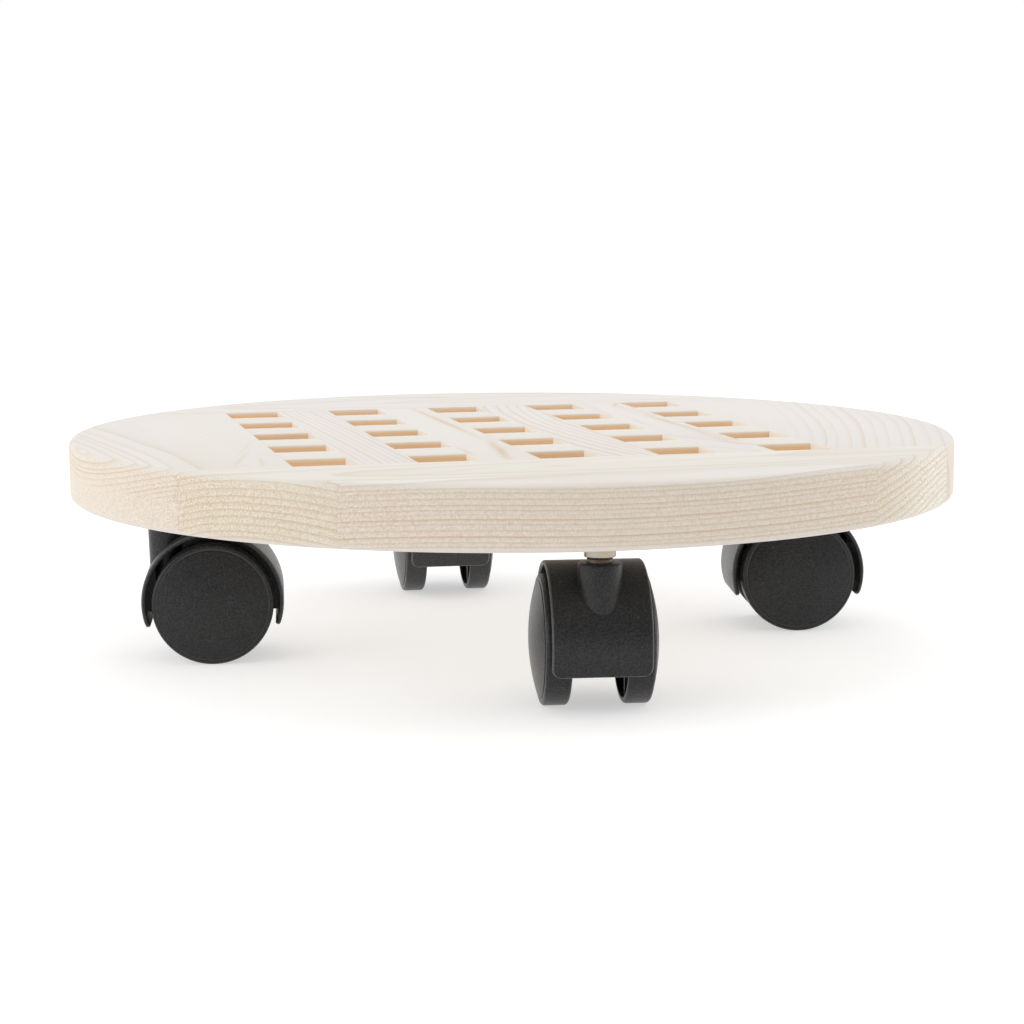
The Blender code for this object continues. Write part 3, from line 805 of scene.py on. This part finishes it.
def housing_mesh(trail):
    """Hood, web, axle boss and stem socket moulded in one."""
    boss_top = DECK_BOTTOM - STEM_BOSS_GAP - WHEEL_RADIUS
    at_stem = Matrix.Translation((trail, 0.0, 0.0))
    across = Matrix.Rotation(math.radians(90), 4, "X")
    boss = [
        (0.0, STEM_BOSS_FOOT),
        (STEM_BOSS_FOOT_RADIUS, STEM_BOSS_FOOT),
        (STEM_BOSS_RADIUS, boss_top),
        (0.0, boss_top),
    ]
    boss = turned_at(rounded(boss, STEM_BOSS_EASING), STEM_BOSS_STEPS, "boss", at_stem)
    mesh = cut(cut(hood_mesh(), web_mesh(), "UNION"), boss, "UNION")
    space = rod(WHEEL_SPACE_RADIUS, WHEEL_SPACE_FROM, WHEEL_SPACE_TO)
    for side in (-1, 1):
        turn = Matrix.Rotation(math.radians(-90 * side), 4, "X")
        mesh = cut(mesh, turned_at(space, WHEEL_STEPS, "space", turn), "DIFFERENCE")
    clip = DECK_BOTTOM - CLIP_DROP - WHEEL_RADIUS
    socket = [
        (0.0, SOCKET_FLOOR),
        (SOCKET_RADIUS, SOCKET_FLOOR),
        (SOCKET_RADIUS, clip - CLIP_RECESS_HALF_HEIGHT),
        (CLIP_RECESS_RADIUS, clip - CLIP_RECESS_HALF_HEIGHT),
        (CLIP_RECESS_RADIUS, clip + CLIP_RECESS_HALF_HEIGHT),
        (SOCKET_RADIUS, clip + CLIP_RECESS_HALF_HEIGHT),
        (SOCKET_RADIUS, boss_top + CUTTER_OVERRUN),
        (0.0, boss_top + CUTTER_OVERRUN),
    ]
    mesh = cut(mesh, turned_at(socket, SOCKET_STEPS, "socket", at_stem), "DIFFERENCE")
    hole = rod(AXLE_HOLE_RADIUS, -CUTTER_REACH, CUTTER_REACH)
    mesh = cut(mesh, turned_at(hole, AXLE_HOLE_STEPS, "hole", across), "DIFFERENCE")
    return creased(without_slivers(mesh))


def wheel_mesh():
    """One wheel about Z with its domed face up, hollow behind, with a hub and ribs. A shallow groove
    rings the face, and the lip outside it is the second material: a paler painted highlight along
    the face's rim edge.
    """
    rise = WHEEL_FACE_CROWN - WHEEL_FACE_EDGE
    dome = (WHEEL_FACE_RADIUS**2 + rise**2) / (2 * rise)
    groove = FACE_GROOVE_SHARE * WHEEL_FACE_RADIUS

    def on_face(radius):
        return WHEEL_FACE_CROWN - dome + math.sqrt(dome**2 - radius**2)

    face = [(groove * i / FACE_STEPS, on_face(groove * i / FACE_STEPS)) for i in range(FACE_STEPS + 1)]
    step = [(groove + out, on_face(groove) - down) for out, down in FACE_GROOVE]
    tread = WHEEL_RADIUS - TREAD_ROUND
    tread_edge = WHEEL_FACE_EDGE - TREAD_SETBACK
    tread_out = arc(TREAD_ROUND, TREAD_ROUND_FROM, 0, TREAD_ROUND_STEPS, (tread, tread_edge))
    tread_in = arc(TREAD_ROUND, 0, -90, TREAD_ROUND_STEPS, (tread, WHEEL_INNER_PLANE + TREAD_ROUND))
    inside = WHEEL_FACE_EDGE - WHEEL_WALL
    behind = [
        (tread - RIM_START, WHEEL_INNER_PLANE),
        (RIM_INSIDE, WHEEL_INNER_PLANE),
        (RIM_INSIDE - RIM_DRAFT, inside),
        (HUB_RADIUS, inside),
        (HUB_RADIUS - HUB_DRAFT, HUB_END),
        (BORE_RADIUS, HUB_END),
        (BORE_RADIUS, inside - BORE_INTO_WALL),
        (0.0, inside - BORE_INTO_WALL),
    ]
    profile = face + step + tread_out + tread_in + rounded(behind, WHEEL_EASING)
    mesh = to_mesh(lathe(profile, WHEEL_STEPS), "wheel")
    ribs = bmesh.new()
    low, high = WHEEL_INNER_PLANE + RIB_SETBACK, inside + RIB_INTO_WALL
    inner, outer = HUB_RADIUS - RIB_INTO_HUB, RIM_INSIDE
    for i in range(RIB_COUNT):
        turn = Matrix.Rotation((i + 0.5) * 2 * math.pi / RIB_COUNT, 4, "Z")
        spot = Vector(((inner + outer) / 2, 0.0, (low + high) / 2))
        size = Vector((outer - inner, RIB_THICKNESS, high - low))
        bmesh.ops.create_cube(ribs, size=1.0, matrix=turn @ Matrix.LocRotScale(spot, None, size))
    mesh = without_slivers(cut(mesh, to_mesh(ribs, "ribs"), "UNION"))
    mesh.materials.append(None)
    mesh.materials.append(None)
    # Painted highlight: the faces on the lip, above the tread, take the paler second material.
    for face in mesh.polygons:
        past_groove = math.hypot(face.center.x, face.center.y) - groove
        lip_highlight = LIP_HIGHLIGHT_FROM < past_groove < LIP_HIGHLIGHT_TO
        face.material_index = int(lip_highlight and face.center.z > tread_edge)
    return creased(mesh)


def stem_mesh():
    """Stud, collar and swivel pin. Only the collar and the first of the pin show under the deck."""
    tip = DECK_BOTTOM - STEM_PIN_REACH
    clip = DECK_BOTTOM - CLIP_DROP
    collar_foot = DECK_BOTTOM - COLLAR_HEIGHT
    collar_top = DECK_BOTTOM - COLLAR_GAP
    neck_foot = collar_foot - STEM_NECK_LENGTH
    stud_top = DECK_BOTTOM + STUD_LENGTH
    profile = [
        (0.0, stud_top),
        (STUD_RADIUS - STUD_CHAMFER, stud_top),
        (STUD_RADIUS, stud_top - STUD_CHAMFER),
        (STUD_RADIUS, collar_top),
        (COLLAR_RADIUS, collar_top),
        (COLLAR_RADIUS, collar_foot),
        (STEM_NECK_RADIUS, collar_foot - STEM_NECK_SLOPE),
        (STEM_NECK_RADIUS, neck_foot + STEM_NECK_SLOPE),
        (STEM_PIN_RADIUS, neck_foot),
        (STEM_PIN_RADIUS, clip + CLIP_GROOVE_HALF_HEIGHT),
        (CLIP_GROOVE_RADIUS, clip + CLIP_GROOVE_HALF_HEIGHT),
        (CLIP_GROOVE_RADIUS, clip - CLIP_GROOVE_HALF_HEIGHT),
        (STEM_PIN_RADIUS, clip - CLIP_GROOVE_HALF_HEIGHT),
        (STEM_PIN_RADIUS, tip + STUD_CHAMFER),
        (STEM_PIN_RADIUS - STUD_CHAMFER, tip),
        (0.0, tip),
    ]
    return to_mesh(lathe(rounded(profile, STEM_EASING), STEM_STEPS), "stem", sharp=STEM_CREASE)


def insert_mesh():
    """Threaded insert with a thin flange that shows round the collar, and barbs above it."""
    foot = DECK_BOTTOM + INSERT_GAP
    top = DECK_BOTTOM + INSERT_REACH
    flange_top = foot + INSERT_FLANGE_HEIGHT
    profile = [
        (INSERT_BORE_RADIUS, foot),
        (INSERT_FLANGE_RADIUS, foot),
        (INSERT_FLANGE_RADIUS, flange_top),
        (INSERT_NECK_RADIUS, flange_top + INSERT_FLANGE_SLOPE),
    ]
    for i in range(INSERT_BARBS):
        level = foot + INSERT_BARB_START + INSERT_BARB_PITCH * i
        profile += [(INSERT_BARB_RADIUS, level), (INSERT_ROOT_RADIUS, level + INSERT_BARB_HEIGHT)]
    profile += [(INSERT_ROOT_RADIUS, top), (INSERT_BORE_RADIUS, top)]
    return to_mesh(lathe(profile, TURNED_STEPS), "insert", sharp=INSERT_CREASE)


def build_casters():
    trail = (STEMS["front"] - AXLES["front"][0]).length
    housing = housing_mesh(trail)
    wheel = wheel_mesh()
    stem = stem_mesh()
    insert = insert_mesh()
    for place in PLACES:
        middle, facing = AXLES[place]
        at_stem = Matrix.Translation((STEMS[place].x, STEMS[place].y, 0.0))
        at_axle = Matrix.Translation(middle) @ facing
        plastic, edge_highlight, lip_highlight = NYLON[place]
        swivel = f"{place}_swivel"
        node = f"{place}_caster_housing"
        piece(f"{place}_hood", housing.copy(), swivel, node, [plastic, edge_highlight], at_axle)
        for name, mesh, node in (("stem", stem, "swivel_stem"), ("insert", insert, "threaded_insert")):
            node = f"{place}_{node}"
            piece(f"{place}_{name}", mesh.copy(), "deck", node, [STEEL], at_stem)
        for side, word in ((1, "near"), (-1, "far")):
            turned = at_axle @ Matrix.Rotation(math.radians(-90 * side), 4, "X")
            node = f"{place}_wheel_{word}"
            name = f"{place}_{word}_wheel"
            piece(name, wheel.copy(), node, node, [plastic, lip_highlight], turned)
        for node in (f"{place}_axle", f"{place}_stem_clip"):
            slots = frame["nodes"][node].data.materials
            slots.clear()
            slots.append(STEEL)


# ---------------------------------------------------------------------------------------------
# Studio

FLOOR_REACH = 12.0
CAMERA_LENS = 78.34
CAMERA_SENSOR = 36.0


def build_studio():
    """A pale matt floor that glows a little, a white room that is dimmer in front, and three softboxes."""
    bm = bmesh.new()
    bmesh.ops.create_grid(bm, x_segments=1, y_segments=1, size=FLOOR_REACH)
    floor = bpy.data.objects.new("floor", to_mesh(bm, "floor"))
    bpy.context.scene.collection.objects.link(floor)
    paper = Graph("floor_paper")
    settings = {
        "Base Color": (0.58, 0.58, 0.58, 1.0),
        "Emission Color": (1.0, 1.0, 1.0, 1.0),
        "Emission Strength": 0.52,
        "Roughness": 0.95,
        "Specular IOR Level": 0.0,
    }
    for socket, value in settings.items():
        paper.shader.inputs[socket].default_value = value
    floor.data.materials.append(paper.material)

    world = bpy.data.worlds.new("studio")
    world.use_nodes = True
    nodes, links = world.node_tree.nodes, world.node_tree.links
    backdrop = nodes["Background"]
    towards = nodes.new("ShaderNodeSeparateXYZ")
    room = nodes.new("ShaderNodeTexCoord")
    dim = nodes.new("ShaderNodeMapRange")
    for socket, value in (("From Min", -0.9), ("From Max", -0.2), ("To Min", 0.50), ("To Max", 1.0)):
        dim.inputs[socket].default_value = value
    links.new(room.outputs["Generated"], towards.inputs[0])
    links.new(towards.outputs["Y"], dim.inputs["Value"])
    links.new(dim.outputs[0], backdrop.inputs["Color"])
    backdrop.inputs["Strength"].default_value = 1.0
    bpy.context.scene.world = world

    softbox("left_softbox", (-1.15, -0.25, 0.55), 1.0, 4.2)
    softbox("right_softbox", (1.15, 0.05, 0.55), 1.0, 3.6)
    softbox("top_softbox", (0.0, 0.1, 1.4), 1.2, 3.0)


def softbox(name, place, size, power):
    """A square lamp of this size, in metres, aimed at the deck."""
    lamp = bpy.data.lights.new(name, "AREA")
    lamp.size = size
    lamp.energy = power
    holder = bpy.data.objects.new(name, lamp)
    holder.location = place
    aim = Vector((0.0, 0.0, DECK_BOTTOM)) - holder.location
    holder.rotation_euler = aim.to_track_quat("-Z", "Y").to_euler()
    bpy.context.scene.collection.objects.link(holder)


def build_camera():
    """Almost level with the deck, a little to the left, from five deck radii away."""
    distance = 5.129 * DECK_RADIUS
    azimuth = math.radians(-13.83)
    elevation = math.radians(5.92)
    pitch = math.radians(8.04)
    roll = math.radians(-0.234)
    level = Vector((math.cos(azimuth), math.sin(azimuth), 0.0))
    ahead = Vector((-math.sin(azimuth), math.cos(azimuth), 0.0))
    above = Vector((0.0, 0.0, 1.0))
    offset = math.sin(elevation) * above - math.cos(elevation) * ahead
    forward = math.cos(pitch) * ahead - math.sin(pitch) * above
    up = level.cross(forward)
    right = math.cos(roll) * level + math.sin(roll) * up
    lens = bpy.data.cameras.new("camera")
    lens.sensor_width = CAMERA_SENSOR
    lens.lens = CAMERA_LENS
    camera = bpy.data.objects.new("camera", lens)
    pose = Matrix((right, right.cross(forward), -forward)).transposed().to_4x4()
    pose.translation = Vector((0.0, 0.0, DECK_TOP)) + distance * offset
    camera.matrix_world = pose
    bpy.context.scene.collection.objects.link(camera)
    bpy.context.scene.camera = camera


# ---------------------------------------------------------------------------------------------
# Where each caster stands, and each part's material

JOINTS = {joint["name"]: joint for joint in frame["joints"]}
STEMS = {}
AXLES = {}
for place in PLACES:
    swivel = JOINTS[f"{place}_swivel_turn"]
    roll = JOINTS[f"{place}_wheel_near_roll"]
    middle = Vector(roll["pos_m"])
    stem_at = Vector(swivel["pos_m"])
    upwards = Vector((0.0, 0.0, 1.0))
    ahead = Vector((stem_at.x - middle.x, stem_at.y - middle.y, 0.0)).normalized()
    STEMS[place] = Vector((stem_at.x, stem_at.y, middle.z))
    AXLES[place] = (middle, Matrix((ahead, upwards.cross(ahead), upwards)).transposed().to_4x4())

PINE = {
    "front_rail_outer": pine(
        "pine_front_rail_outer", "X", (-0.138, -0.110), (0.03, 0.012), ring=1.5 * MM, wander=0.35 * MM,
        seed=1.0, yellow=0.35, dots=0.50, contrast=0.9,
        streaks=((-0.030, -0.1315, 0.06, 0.026, 1.2 * MM, 0.24),),
    ),
    "front_rail_inner": pine(
        "pine_front_rail_inner", "X", (-0.1055, -0.0425), (0.078, 0.02), bow=0.73, ring=2.1 * MM,
        wander=0.5 * MM, seed=2.0, yellow=0.85, dots=0.45, contrast=0.9, lit_rim_from=0.085,
        streaks=(
            (-0.045, -0.1100, 0.45, 0.018, 1.4 * MM, 0.25),
            (0.050, -0.0990, 0.12, 0.045, 1.5 * MM, 0.25),
            (-0.012, -0.1060, 0.0, 0.004, 1.7 * MM, 0.40),
        ),
    ),
    "back_rail_inner": pine(
        "pine_back_rail_inner", "X", (0.110, -0.06), (0.05, 0.03), ring=2.4 * MM, wander=0.5 * MM, seed=3.0,
        contrast=0.6, yellow=0.1,
    ),
    "back_rail_outer": pine(
        "pine_back_rail_outer", "X", (0.130, 0.09), (-0.05, 0.02), ring=1.9 * MM, wander=0.5 * MM, seed=4.0,
        contrast=0.7, yellow=0.2,
    ),
    "left_side_board": pine(
        "pine_left_side_board", "Y", (-0.120, -0.035), (-0.20, 0.0), bow=-0.7, ring=1.45 * MM,
        wander=0.22 * MM, seed=5.0, yellow=0.25, fade_below=0.62, faint=(-0.007, 1), dots=0.50, wall_shading=0.12,
        contrast=0.85,
        streaks=(
            (-0.062, -0.1010, 0.22, 0.018, 0.9 * MM, 0.30),
            (-0.072, -0.0960, 0.10, 0.014, 0.7 * MM, 0.30),
            (-0.030, -0.0955, 0.25, 0.020, 0.7 * MM, 0.20),
        ),
    ),
    "right_side_board": pine(
        "pine_right_side_board", "Y", (0.050, 0.004), (0.30, 0.02), bow=-0.7, ring=4.6 * MM, wander=0.8 * MM,
        seed=6.0, yellow=0.2, wall_shading=0.12, contrast=0.62, faint=(0.060, -1),
    ),
    "long_slat_1": pine(
        "pine_long_slat_1", "Y", (-0.120, -0.010), (-0.03, 0.0), ring=2.2 * MM, wander=0.5 * MM, seed=7.0,
        yellow=0.25, contrast=1.0, wall_shading=0.12,
    ),
    "long_slat_2": pine(
        "pine_long_slat_2", "Y", (-0.022, -0.080), (0.02, 0.0), ring=2.6 * MM, seed=8.0, contrast=0.5,
        yellow=0.4, wall_shading=0.12,
        streaks=(
            (0.035, -0.0172, -0.01, 0.052, 1.3 * MM, 0.70),
            (-0.062, -0.0188, 0.14, 0.024, 1.6 * MM, 0.72),
            (-0.061, -0.0300, 0.0, 0.010, 0.9 * MM, 0.45),
        ),
    ),
    "long_slat_3": pine(
        "pine_long_slat_3", "Y", (-0.020, -0.012), (-0.02, 0.0), bow=1.0, ring=2.9 * MM, wander=0.5 * MM,
        seed=9.0, yellow=0.25, contrast=1.25, wall_shading=0.12,
    ),
    "long_slat_4": pine(
        "pine_long_slat_4", "Y", (0.045, -0.040), (-0.20, 0.03), bow=2.0, ring=3.6 * MM, seed=10.0,
        yellow=0.2, contrast=0.5, wall_shading=0.12,
        streaks=(
            (0.012, 0.0605, 0.02, 0.055, 1.5 * MM, 0.50),
            (-0.063, 0.0615, -0.55, 0.010, 1.4 * MM, 0.50),
            (0.079, 0.0610, 0.40, 0.010, 1.1 * MM, 0.45),
            (0.015, 0.0505, 0.06, 0.020, 0.9 * MM, 0.25),
        ),
    ),
}
for number in range(1, CROSSINGS + 1):
    PINE[f"cross_slat_{number}"] = pine(
        f"pine_cross_slat_{number}",
        "X",
        (-0.057 + 0.038 * (number - 1) + 0.03, -0.05 + 0.015 * number),
        (0.03 * (number - 2), 0.0),
        ring=2.1 * MM,
        contrast=0.4,
        seed=10.0 + number,
        yellow=0.6,
        wall_shading=1.0,
    )

# The back caster is painted a little paler than the others, painted light for the haze over it. The
# painted highlights on the hood edges and wheel lips are paler still.
NYLON = {}
for index, place in enumerate(PLACES):
    # Painted light: the back caster gets the paler copy of the plastic.
    tone = HAZE_LIT_NYLON if place == "back" else BLACK_NYLON
    NYLON[place] = [
        nylon(f"black_nylon_{place}", 0.1 * index, tone),
        # Painted highlight along the hood's rounded edge.
        nylon(f"edge_highlight_{place}", 0.1 * index, tone * 1.6 + 0.045),
        # Painted highlight along the wheel face's rim edge.
        nylon(f"wheel_lip_highlight_{place}", 0.1 * index, tone * 1.5 + 0.022),
    ]
STEEL = plated_steel("plated_steel", DECK_BOTTOM - COLLAR_HEIGHT)

build_deck()
build_casters()
build_studio()
build_camera()
bpy.context.scene.view_settings.view_transform = "Standard"
